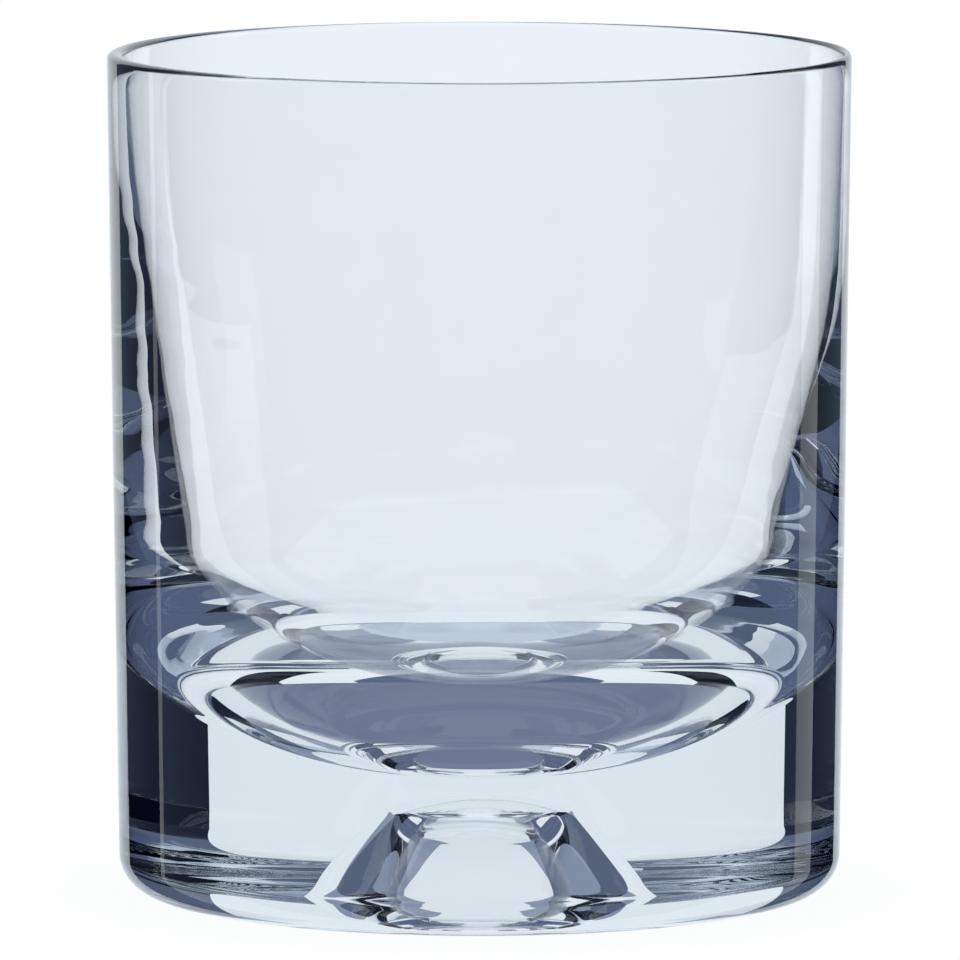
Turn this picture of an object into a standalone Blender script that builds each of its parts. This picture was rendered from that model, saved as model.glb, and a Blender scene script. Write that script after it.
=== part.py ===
"""A heavy-based whiskey tumbler: one piece of clear glass, turned about its own axis.

The origin is the middle of the resting plane, +Z is up, and all lengths are metres.
"""

import math

import bmesh
import bpy
from mathutils import Vector
from mathutils.geometry import interpolate_bezier

# Driving dimensions
HEIGHT = 0.095
LIP_RADIUS = 0.0419  # outside, where the lip starts to round over
FOOT_RADIUS = 0.0408  # outside, where the wall meets the corner of the base
FOOT_CORNER = 0.0043  # radius of the rounded outer corner of the base
LIP_WALL = 0.0014  # thickness of the lip, which ends in a full round
BOWL_LOWEST = 0.0149  # thickness of the base in the middle of the bowl
BOWL_CURVE = 0.0312  # radius of the arc from the bowl's bottom up to its side
BOWL_FLAT = 0.0038  # radius of the level spot in the middle of the bowl
BOWL_LEAN = math.radians(10.5)  # lean of the inside where the bowl turns into the wall
LIP_LEAN = math.radians(2.5)  # lean of the inside just under the lip
DIMPLE_HEIGHT = 0.0127  # the hollow under the base
DOME_CURVE = 0.0165  # radius of the dimple's shallow top
DOME_TURN = math.radians(24)  # slope where the top meets the shoulder
SHOULDER_CURVE = 0.0018
FLANK_TOP = math.radians(56)  # slope of the flank under the shoulder
FLANK_FOOT = math.radians(66)  # and where the mouth starts to open
MOUTH_CURVE = 0.004

# How strongly the wall's inside curve holds the lean at each of its ends
LIP_PULL = 0.0273
BOWL_PULL = 0.020

# How finely the round is cut
AROUND = 72
CORNER_STEPS = 4
LIP_STEPS = 6
WALL_STEPS = 9
BOWL_STEPS = 10
DOME_STEPS = 4
SHOULDER_STEPS = 4
FLANK_STEPS = 3
MOUTH_STEPS = 5

GLASS_COLOUR = (0.93, 0.96, 0.98, 1.0)
GLASS_ROUGHNESS = 0.02
GLASS_IOR = 1.52


def point(radius, height):
    return Vector((radius, 0, height))


def leaning(angle, length):
    """A step of this length up and outwards, leaning this far from upright."""
    return point(math.sin(angle) * length, math.cos(angle) * length)


def arc(centre, radius, start, end, steps):
    """Points on an arc in the XZ plane, angles from +X towards +Z, both ends included."""
    turns = [start + (end - start) * i / steps for i in range(steps + 1)]
    return [centre + point(math.cos(turn), math.sin(turn)) * radius for turn in turns]


def bend(start, slope, new_slope, curve, steps):
    """Points on the arc that takes a line, falling outwards at a slope, to another slope."""
    centre = start - point(math.sin(slope), math.cos(slope)) * curve
    upright = math.pi / 2
    return arc(centre, curve, upright - slope, upright - new_slope, steps)


def dimple():
    """The hollow under the base, from its top on the axis down to the resting ring."""
    dome = bend(point(0, DIMPLE_HEIGHT), 0, DOME_TURN, DOME_CURVE, DOME_STEPS)
    shoulder = bend(dome[-1], DOME_TURN, FLANK_TOP, SHOULDER_CURVE, SHOULDER_STEPS)
    mouth_height = MOUTH_CURVE * (1 - math.cos(FLANK_FOOT))
    drop = shoulder[-1].z - mouth_height
    flank_curve = drop / (math.cos(FLANK_TOP) - math.cos(FLANK_FOOT))
    flank = bend(shoulder[-1], FLANK_TOP, FLANK_FOOT, flank_curve, FLANK_STEPS)
    mouth = bend(flank[-1], FLANK_FOOT, 0, -MOUTH_CURVE, MOUTH_STEPS)
    return dome[:-1] + shoulder[:-1] + flank[:-1] + mouth


def foot():
    """The rounded outer corner of the base."""
    centre = point(FOOT_RADIUS - FOOT_CORNER, FOOT_CORNER)
    return arc(centre, FOOT_CORNER, -math.pi / 2, 0, CORNER_STEPS)


def lip():
    """The full round over the lip, from the outside to the inside."""
    half = LIP_WALL / 2
    centre = point(LIP_RADIUS - half, HEIGHT - half)
    return arc(centre, half, 0, math.pi, LIP_STEPS)


def bowl():
    """The bowl, from its side down to its lowest point on the axis."""
    centre = point(BOWL_FLAT, BOWL_LOWEST + BOWL_CURVE)
    return arc(centre, BOWL_CURVE, -BOWL_LEAN, -math.pi / 2, BOWL_STEPS) + [point(0, BOWL_LOWEST)]


def inside_wall():
    """The inside of the wall, which thickens from the lip down to the side of the bowl."""
    start = lip()[-1]
    end = bowl()[0]
    return interpolate_bezier(
        start,
        start - leaning(LIP_LEAN, LIP_PULL),
        end + leaning(BOWL_LEAN, BOWL_PULL),
        end,
        WALL_STEPS + 1,
    )


def outline():
    """The glass's half section, from the top of the dimple round to the bottom of the bowl."""
    return dimple() + foot() + lip() + inside_wall()[1:-1] + bowl()


def turned(name, corners, steps):
    """A closed solid turned about Z, from a half section that starts and ends on the axis."""
    work = bmesh.new()
    verts = [work.verts.new(corner) for corner in corners]
    edges = [work.edges.new(pair) for pair in zip(verts, verts[1:])]
    bmesh.ops.spin(
        work,
        geom=verts + edges,
        axis=(0, 0, 1),
        cent=(0, 0, 0),
        angle=2 * math.pi,
        steps=steps,
        use_merge=True,
    )
    bmesh.ops.remove_doubles(work, verts=work.verts, dist=1e-6)
    bmesh.ops.recalc_face_normals(work, faces=work.faces)
    mesh = bpy.data.meshes.new(name)
    work.to_mesh(mesh)
    work.free()
    mesh.shade_smooth()
    mesh.set_sharp_from_angle(angle=math.radians(40))
    return mesh


def glass():
    """Clear glass with a faint cold tint."""
    material = bpy.data.materials.new("clear_glass")
    material.use_nodes = True
    shader = material.node_tree.nodes["Principled BSDF"]
    shader.inputs["Base Color"].default_value = GLASS_COLOUR
    shader.inputs["Roughness"].default_value = GLASS_ROUGHNESS
    shader.inputs["Metallic"].default_value = 0
    shader.inputs["IOR"].default_value = GLASS_IOR
    shader.inputs["Transmission Weight"].default_value = 1
    return material


def tumbler():
    """The whole glass."""
    mesh = turned("tumbler", outline(), AROUND)
    mesh.materials.append(glass())
    body = bpy.data.objects.new("tumbler", mesh)
    bpy.context.collection.objects.link(body)
    return body


for old in list(bpy.data.objects):
    bpy.data.objects.remove(old, do_unlink=True)
tumbler()
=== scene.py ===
import math

import bmesh
import bpy
from mathutils import Matrix, Vector, noise
from mathutils.geometry import interpolate_bezier


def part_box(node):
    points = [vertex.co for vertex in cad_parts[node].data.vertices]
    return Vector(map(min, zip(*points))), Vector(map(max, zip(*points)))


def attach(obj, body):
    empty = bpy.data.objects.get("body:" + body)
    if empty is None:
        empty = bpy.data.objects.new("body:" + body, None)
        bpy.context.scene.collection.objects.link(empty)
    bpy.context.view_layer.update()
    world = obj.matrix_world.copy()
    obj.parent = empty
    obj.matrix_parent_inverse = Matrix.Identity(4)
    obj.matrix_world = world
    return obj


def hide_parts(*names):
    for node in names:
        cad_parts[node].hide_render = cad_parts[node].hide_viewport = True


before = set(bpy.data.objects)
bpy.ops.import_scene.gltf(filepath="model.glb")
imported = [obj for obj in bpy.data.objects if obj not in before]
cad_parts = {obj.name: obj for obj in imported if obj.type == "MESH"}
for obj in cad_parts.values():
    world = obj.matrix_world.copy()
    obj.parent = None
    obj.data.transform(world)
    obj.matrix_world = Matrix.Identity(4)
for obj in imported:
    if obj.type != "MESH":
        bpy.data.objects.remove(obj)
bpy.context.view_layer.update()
print("frame loaded")


# the camera looks slightly down on the glass from far off
cameraSetup = {
    "distance": 1.46555,  # level, from the glass's own axis
    "height": 0.21754,
    "downward": 6.658,  # degrees
    "lens": 490,
    "sensor": 36,
    "nearest": 0.01,
    "sideShift": 0.00066,
}


def placeCamera():
    camera = bpy.data.objects.new("camera", bpy.data.cameras.new("camera"))
    bpy.context.collection.objects.link(camera)
    camera.data.sensor_width = cameraSetup["sensor"]
    camera.data.lens = cameraSetup["lens"]
    camera.data.shift_x = cameraSetup["sideShift"]
    camera.data.clip_start = cameraSetup["nearest"]
    camera.location = (0, -cameraSetup["distance"], cameraSetup["height"])
    camera.rotation_euler = (math.radians(90 - cameraSetup["downward"]), 0, 0)
    bpy.context.scene.camera = camera


# the half section of the glass; height and outside width come from the frame
glassShape = {
    "footDrawIn": 0.0011,  # how much narrower the foot is than the lip
    "footCorner": 0.0043,
    "lipWall": 0.0014,
    "baseThickness": 0.0149,  # glass under the middle of the bowl, dimple included
    "bowlCurve": 0.0312,
    "bowlFlat": 0.0038,  # radius of the level spot in the bowl
    "bowlLean": 10.5,  # degrees from upright, where the bowl turns into the wall
    "lipLean": 2.5,
    "lipPull": 0.0273,  # how far the wall's curve holds each end's lean
    "bowlPull": 0.020,
    "dimpleHeight": 0.0127,
    "domeCurve": 0.0165,  # the dimple's shallow top
    "domeTurn": 24,  # degrees of slope where the top meets the shoulder
    "shoulderCurve": 0.0018,
    "flankTop": 56,  # degrees of slope under the shoulder
    "flankFoot": 66,  # and where the mouth starts to open
    "mouthCurve": 0.0040,
    "around": 320,
    "domeSteps": 12,
    "shoulderSteps": 10,
    "flankSteps": 14,
    "mouthSteps": 10,
    "cornerSteps": 14,
    "outsideSteps": 40,
    "lipSteps": 16,
    "wallSteps": 70,
    "bowlSteps": 60,
    "ringSteps": 3,
    "bottomSteps": 5,
    "mergeGap": 1e-6,
}


def leaning(degrees, length):
    # a step up and outwards, leaning this far from upright
    turn = math.radians(degrees)
    return Vector((math.sin(turn), 0, math.cos(turn))) * length


def arcOn(work, start, centre, degrees, steps):
    # one vertex spun across the section draws a round stretch
    made = bmesh.ops.spin(
        work, geom=[start], axis=(0, 1, 0), cent=centre, angle=math.radians(degrees), steps=steps
    )
    return [v for v in made["geom_last"] if isinstance(v, bmesh.types.BMVert)][0]


def turnOn(work, start, slope, newSlope, curve, steps):
    # a round stretch that takes a falling line from one slope to another
    turn = math.radians(slope)
    bend = 1 if newSlope > slope else -1
    centre = start.co - Vector((math.sin(turn), 0, math.cos(turn))) * curve * bend
    return arcOn(work, start, centre, newSlope - slope, steps)


def lineOn(work, start, end, steps):
    return curveOn(work, start, start.co.lerp(end, 1 / 3), start.co.lerp(end, 2 / 3), end, steps)


def curveOn(work, start, pullA, pullB, end, steps):
    # a free curve from a vertex, leaving towards pullA and arriving from pullB
    last = start
    for spot in interpolate_bezier(start.co, pullA, pullB, end, steps + 1)[1:]:
        vert = work.verts.new(spot)
        work.edges.new((last, vert))
        last = vert
    return last


def drawSection(work, lipRadius, height):
    s = glassShape
    footRadius = lipRadius - s["footDrawIn"]
    half = s["lipWall"] / 2
    bowlSide = Vector((s["bowlFlat"], 0, s["baseThickness"] + s["bowlCurve"]))

    # down the dimple from its top, out to the resting ring and round the foot
    now = work.verts.new((0, 0, s["dimpleHeight"]))
    domeCentre = now.co - Vector((0, 0, s["domeCurve"]))
    now = arcOn(work, now, domeCentre, s["domeTurn"], s["domeSteps"])
    upper, lower = s["flankTop"], s["flankFoot"]
    now = turnOn(work, now, s["domeTurn"], upper, s["shoulderCurve"], s["shoulderSteps"])
    # the flank steepens all the way down, as a round stretch that ends where the mouth starts
    drop = now.co.z - s["mouthCurve"] * (1 - math.cos(math.radians(lower)))
    flankCurve = drop / (math.cos(math.radians(upper)) - math.cos(math.radians(lower)))
    now = turnOn(work, now, upper, lower, flankCurve, s["flankSteps"])
    now = turnOn(work, now, lower, 0, s["mouthCurve"], s["mouthSteps"])
    ring = Vector((footRadius - s["footCorner"], 0, 0))
    now = lineOn(work, now, ring, s["ringSteps"])
    cornerCentre = ring + Vector((0, 0, s["footCorner"]))
    now = arcOn(work, now, cornerCentre, -90, s["cornerSteps"])

    # up the outside, over the lip and down the inside into the bowl
    lipOut = Vector((lipRadius, 0, height - half))
    now = lineOn(work, now, lipOut, s["outsideSteps"])
    now = arcOn(work, now, lipOut - Vector((half, 0, 0)), -180, s["lipSteps"])
    lean = math.radians(s["bowlLean"])
    join = bowlSide + Vector((math.cos(lean), 0, -math.sin(lean))) * s["bowlCurve"]
    leaving = now.co - leaning(s["lipLean"], s["lipPull"])
    arriving = join + leaning(s["bowlLean"], s["bowlPull"])
    now = curveOn(work, now, leaving, arriving, join, s["wallSteps"])
    now = arcOn(work, now, bowlSide, 90 - s["bowlLean"], s["bowlSteps"])
    lineOn(work, now, Vector((0, 0, s["baseThickness"])), s["bottomSteps"])


# what blowing and pressing leave behind: nothing on a hand-made glass is quite round
handWork = {
    "driftMiddle": 0.0009,  # the bowl sits this far off the axis half way up
    "driftHeight": 0.064,
    "driftSpread": 0.020,
    "driftLip": 0.0004,
    "driftLipFrom": 0.070,  # height at which the lip's own drift sets in
    "edgeSlack": 1e-5,
    "hollowReach": 0.018,  # the dimple's waves end here
    "hollowFade": 0.004,
    "footFade": 0.004,
    "rippleFrom": (0.030, 0.042),  # the wall's ripples come in between these heights
    "rippleEnd": (0.002, 0.020),  # and go out between these depths under the lip
    "wallRipple": {"depth": 0.000014, "across": 0.030, "upright": 0.0030, "seed": 3},
    "bowlWave": {"depth": 0.00003, "across": 0.022, "upright": 0.014, "seed": 11},
    "outsideWave": {"depth": 0.00003, "across": 0.030, "upright": 0.018, "seed": 23},
    "dimpleWave": {"depth": 0.00014, "across": 0.007, "upright": 0.007, "seed": 37},
}


def ease(value, low, high):
    share = min(max((value - low) / (high - low), 0), 1)
    return share * share * (3 - 2 * share)


def wave(kind, co):
    w = handWork[kind]
    spot = Vector((co.x / w["across"], co.y / w["across"], co.z / w["upright"] + w["seed"]))
    return noise.noise(spot) * w["depth"]


def roughen(work, lipRadius, height):
    s, h = glassShape, handWork
    footRadius = lipRadius - s["footDrawIn"]
    work.normal_update()
    for vert in work.verts:
        co = vert.co.copy()
        reach = co.xy.length
        climb = max(co.z - s["footCorner"], 0) / (height - s["footCorner"])
        depth = footRadius + (lipRadius - footRadius) * climb - reach
        inside = min(max(depth / s["lipWall"], 0), 1)
        if co.z <= s["baseThickness"] - h["edgeSlack"]:
            inside = 0
        hollow = ease(h["hollowReach"] - reach, 0, h["hollowFade"])
        if co.z >= s["dimpleHeight"] + h["edgeSlack"]:
            hollow = 0
        outside = 1 - max(inside, hollow)
        wall = inside * ease(co.z, *h["rippleFrom"]) * ease(height - co.z, *h["rippleEnd"])
        push = wave("wallRipple", co) * wall + wave("bowlWave", co) * inside
        push += wave("outsideWave", co) * outside * ease(co.z, 0, h["footFade"])
        push += wave("dimpleWave", co) * hollow
        vert.co += vert.normal * push
        drift = h["driftMiddle"] * math.exp(-(((co.z - h["driftHeight"]) / h["driftSpread"]) ** 2))
        drift += h["driftLip"] * ease(co.z, h["driftLipFrom"], height)
        vert.co.x += drift * inside


glassFinish = {
    "ior": 1.52,
    "tint": (0.60, 0.66, 0.70, 1),  # seen only through the thick base
    "density": 5.0,
    "clean": (1.0, 1.0, 1.0, 1),
    "hazed": (0.992, 0.995, 0.997, 1),
    "hazeScale": 160,  # faint drying marks
    "hazeDetail": 4,
    "toneBreaks": (0.45, 0.75),
    "dullBreaks": (0.5, 0.8),
    "roughClean": 0.0,
    "roughHazed": 0.006,
    "cordScale": (9, 9, 130),  # the drawn streaks run round the glass
    "cordDetail": 2,
    "cordDepth": 0.000006,
}


def clearGlass():
    f = glassFinish
    material = bpy.data.materials.new("clearGlass")
    material.use_nodes = True
    tree = material.node_tree
    shader = tree.nodes["Principled BSDF"]
    shader.inputs["Transmission Weight"].default_value = 1
    shader.inputs["IOR"].default_value = f["ior"]
    place = tree.nodes.new("ShaderNodeTexCoord").outputs["Object"]

    # drying marks: a breath of tone and roughness, in patches
    haze = tree.nodes.new("ShaderNodeTexNoise")
    haze.inputs["Scale"].default_value = f["hazeScale"]
    haze.inputs["Detail"].default_value = f["hazeDetail"]
    tree.links.new(place, haze.inputs["Vector"])
    tone = tree.nodes.new("ShaderNodeValToRGB")
    for stop, position, colour in zip(
        tone.color_ramp.elements, f["toneBreaks"], (f["clean"], f["hazed"])
    ):
        stop.position = position
        stop.color = colour
    tree.links.new(haze.outputs["Fac"], tone.inputs["Fac"])
    tree.links.new(tone.outputs["Color"], shader.inputs["Base Color"])
    dull = tree.nodes.new("ShaderNodeMapRange")
    dull.inputs["From Min"].default_value = f["dullBreaks"][0]
    dull.inputs["From Max"].default_value = f["dullBreaks"][1]
    dull.inputs["To Min"].default_value = f["roughClean"]
    dull.inputs["To Max"].default_value = f["roughHazed"]
    tree.links.new(haze.outputs["Fac"], dull.inputs["Value"])
    tree.links.new(dull.outputs["Result"], shader.inputs["Roughness"])

    # cords: the faint level streaks that the gather leaves in drawn glass
    stretch = tree.nodes.new("ShaderNodeMapping")
    stretch.inputs["Scale"].default_value = f["cordScale"]
    tree.links.new(place, stretch.inputs["Vector"])
    cords = tree.nodes.new("ShaderNodeTexNoise")
    cords.inputs["Scale"].default_value = 1
    cords.inputs["Detail"].default_value = f["cordDetail"]
    tree.links.new(stretch.outputs["Vector"], cords.inputs["Vector"])
    raised = tree.nodes.new("ShaderNodeBump")
    raised.inputs["Strength"].default_value = 1
    raised.inputs["Distance"].default_value = f["cordDepth"]
    tree.links.new(cords.outputs["Fac"], raised.inputs["Height"])
    tree.links.new(raised.outputs["Normal"], shader.inputs["Normal"])

    absorb = tree.nodes.new("ShaderNodeVolumeAbsorption")
    absorb.inputs["Color"].default_value = f["tint"]
    absorb.inputs["Density"].default_value = f["density"]
    tree.links.new(absorb.outputs["Volume"], tree.nodes["Material Output"].inputs["Volume"])
    return material


def makeTumbler():
    low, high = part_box("tumbler")
    lipRadius, height = high.x, high.z
    work = bmesh.new()
    drawSection(work, lipRadius, height)
    bmesh.ops.spin(
        work, geom=work.verts[:] + work.edges[:], axis=(0, 0, 1), cent=(0, 0, 0),
        angle=math.tau, steps=glassShape["around"], use_merge=True,
    )
    bmesh.ops.remove_doubles(work, verts=work.verts, dist=glassShape["mergeGap"])
    bmesh.ops.recalc_face_normals(work, faces=work.faces)
    roughen(work, lipRadius, height)
    mesh = bpy.data.meshes.new("glassBody")
    work.to_mesh(mesh)
    work.free()
    mesh.shade_smooth()
    mesh.materials.append(clearGlass())
    piece = bpy.data.objects.new("glassBody", mesh)
    bpy.context.collection.objects.link(piece)
    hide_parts("tumbler")
    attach(piece, "root")
    print("tumbler made,", len(mesh.polygons), "faces")
    return piece


# white sheets behind, over and under the glass, greyer strips in the one over it, and a dark
# card at either side, which draws the dark edges that clear glass needs
studio = {
    "sweepColour": (0.885, 0.955, 1.01),
    "backAt": 1.3,  # how far the sheets reach behind the glass
    "backRise": (-1.0, 1.5),
    "sweepSide": 2.25,
    "overhead": 0.9,
    "underneath": -0.9,
    "underFront": -0.1,
    "topSide": 0.3,  # the sheet overhead is white this far to each side
    "stripSide": 0.9,  # then grey this far
    "stripColour": (0.27, 0.33, 0.45),
    "wingColour": (0.90, 0.97, 1.04),
    "topFront": -0.3,  # in front of this it is pale all over
    "paleFront": -1.5,
    "frontColour": (0.58, 0.68, 0.80),
    "cards": {"Left": (-0.15, 0.055, 0.19), "Right": (0.15, 0.086, 0.25)},
    "cardColour": (0.002, 0.003, 0.010),
    "cardRise": (-0.3, 0.7),
    "bandColour": (0.10, 0.135, 0.21),  # a softer stretch of card, level with the wall
    "bandRise": (0.02, 0.25),
    "paintedShadowColour": (0.17, 0.21, 0.31),  # painted shadow: a dark disc under the base, standing in for the shade there
    "paintedShadowRadius": 0.036,
    "paintedShadowCorners": 96,
    "paintedShadowHeight": -0.0003,
    "floorColour": (1.0, 1.0, 1.0),
    "floorReach": 6,
    "floorHeight": -0.0002,
    "paintedShadeColour": (0.972, 0.977, 0.984),  # painted shade on the floor right round the foot
    "paintedShadeReach": (0.038, 0.060),
    "roomColour": (0.105, 0.14, 0.235),
    "thinnest": 1e-6,
}


def glow(name, colour):
    material = bpy.data.materials.new(name)
    material.use_nodes = True
    tree = material.node_tree
    tree.nodes.remove(tree.nodes["Principled BSDF"])
    light = tree.nodes.new("ShaderNodeEmission")
    light.inputs["Color"].default_value = (*colour, 1)
    tree.links.new(light.outputs["Emission"], tree.nodes["Material Output"].inputs["Surface"])
    return material


def paleFloor():
    # white, with a soft shade painted round where the glass meets it
    material = glow("paleFloor", studio["floorColour"])
    tree = material.node_tree
    reach = tree.nodes.new("ShaderNodeVectorMath")
    reach.operation = "LENGTH"
    place = tree.nodes.new("ShaderNodeTexCoord").outputs["Object"]
    tree.links.new(place, reach.inputs[0])
    fade = tree.nodes.new("ShaderNodeMapRange")
    fade.interpolation_type = "SMOOTHERSTEP"
    fade.inputs["From Min"].default_value = studio["paintedShadeReach"][0]
    fade.inputs["From Max"].default_value = studio["paintedShadeReach"][1]
    tree.links.new(reach.outputs["Value"], fade.inputs["Value"])
    blend = tree.nodes.new("ShaderNodeMix")
    blend.data_type = "RGBA"
    blend.inputs["A"].default_value = (*studio["paintedShadeColour"], 1)
    blend.inputs["B"].default_value = (*studio["floorColour"], 1)
    tree.links.new(fade.outputs["Result"], blend.inputs["Factor"])
    light = tree.nodes["Emission"]
    tree.links.new(blend.outputs["Result"], light.inputs["Color"])
    return material


def standSheet(name, work, material, stand):
    # lights the glass but is never seen itself
    mesh = bpy.data.meshes.new(name)
    work.to_mesh(mesh)
    work.free()
    mesh.materials.append(material)
    sheet = bpy.data.objects.new(name, mesh)
    bpy.context.collection.objects.link(sheet)
    sheet.parent = stand
    sheet.visible_camera = False
    sheet.visible_shadow = False
    return sheet


def disc(name, material, radius, height, stand):
    work = bmesh.new()
    bmesh.ops.create_circle(work, cap_ends=True, segments=studio["paintedShadowCorners"], radius=radius)
    bmesh.ops.translate(work, verts=work.verts, vec=(0, 0, height))
    return standSheet(name, work, material, stand)


def panel(name, material, low, high, stand):
    # a flat sheet that fills the box between two corners, level or upright
    low, high = Vector(low), Vector(high)
    size = high - low
    work = bmesh.new()
    bmesh.ops.create_grid(work, x_segments=1, y_segments=1, size=0.5)
    if size.z > 0:
        turn = Vector((1, 0, 0)) if size.x > 0 else Vector((0, 1, 0))
        bmesh.ops.rotate(work, verts=work.verts, matrix=Matrix.Rotation(math.pi / 2, 3, turn))
    bmesh.ops.scale(work, verts=work.verts, vec=[max(side, studio["thinnest"]) for side in size])
    bmesh.ops.translate(work, verts=work.verts, vec=(low + high) / 2)
    return standSheet(name, work, material, stand)


def lightStudio():
    stand = bpy.data.objects.new("lightStand", None)
    bpy.context.collection.objects.link(stand)

    s = studio
    far, back, over, under = s["sweepSide"], s["backAt"], s["overhead"], s["underneath"]
    side, strip, front = s["topSide"], s["stripSide"], s["topFront"]
    white = glow("whiteSweep", s["sweepColour"])
    pale = glow("paleFront", s["frontColour"])
    wing = glow("whiteWing", s["wingColour"])
    grey = glow("greyStrip", s["stripColour"])
    panel("sweepBack", white, (-far, back, s["backRise"][0]), (far, back, s["backRise"][1]), stand)
    panel("sweepTop", white, (-side, front, over), (side, back, over), stand)
    panel("topFront", pale, (-far, s["paleFront"], over), (far, front, over), stand)
    panel("wingLeft", wing, (-far, front, over), (-strip, back, over), stand)
    panel("wingRight", wing, (strip, front, over), (far, back, over), stand)
    panel("stripLeft", grey, (-strip, front, over), (-side, back, over), stand)
    panel("stripRight", grey, (side, front, over), (strip, back, over), stand)
    panel("sweepUnder", white, (-far, s["underFront"], under), (far, back, under), stand)

    # each card is black below and on top, with the softer band between
    low, high = s["cardRise"]
    bandLow, bandHigh = s["bandRise"]
    black = glow("blackCard", s["cardColour"])
    soft = glow("softBand", s["bandColour"])
    for name, (out, near, far) in s["cards"].items():
        panel("card" + name, black, (out, near, low), (out, far, bandLow), stand)
        panel("band" + name, soft, (out, near, bandLow), (out, far, bandHigh), stand)
        panel("tall" + name, black, (out, near, bandHigh), (out, far, high), stand)
    # a dark glowing disc under the base paints the shadow there, seen only through the glass
    disc("paintedShadowDisc", glow("paintedShadowDisc", s["paintedShadowColour"]), s["paintedShadowRadius"], s["paintedShadowHeight"], stand)


def layFloor():
    # only the camera sees the floor, so it takes nothing from the light inside the base
    reach, height = studio["floorReach"], studio["floorHeight"]
    floor = panel("floor", paleFloor(), (-reach, -reach, height), (reach, reach, height), None)
    floor.visible_camera = True
    floor.visible_glossy = False
    floor.visible_transmission = False
    floor.visible_volume_scatter = False


def setRoom():
    # dim blue all round for the glass, plain white for the camera
    world = bpy.data.worlds.new("room")
    bpy.context.scene.world = world
    world.use_nodes = True
    tree = world.node_tree
    room = tree.nodes["Background"]
    room.inputs["Color"].default_value = (*studio["roomColour"], 1)
    seen = tree.nodes.new("ShaderNodeBackground")
    seen.inputs["Color"].default_value = (*studio["floorColour"], 1)
    path = tree.nodes.new("ShaderNodeLightPath")
    blend = tree.nodes.new("ShaderNodeMixShader")
    tree.links.new(path.outputs["Is Camera Ray"], blend.inputs["Fac"])
    tree.links.new(room.outputs["Background"], blend.inputs[1])
    tree.links.new(seen.outputs["Background"], blend.inputs[2])
    tree.links.new(blend.outputs["Shader"], tree.nodes["World Output"].inputs["Surface"])


placeCamera()
makeTumbler()
lightStudio()
layFloor()
setRoom()
print("studio set")

# clear glass needs many turns of the light inside it, and plain colours need a plain view
lightTurns = {"all": 24, "through": 24, "reflected": 12}
scene = bpy.context.scene
scene.view_settings.view_transform = "Standard"
scene.cycles.max_bounces = lightTurns["all"]
scene.cycles.transmission_bounces = lightTurns["through"]
scene.cycles.glossy_bounces = lightTurns["reflected"]
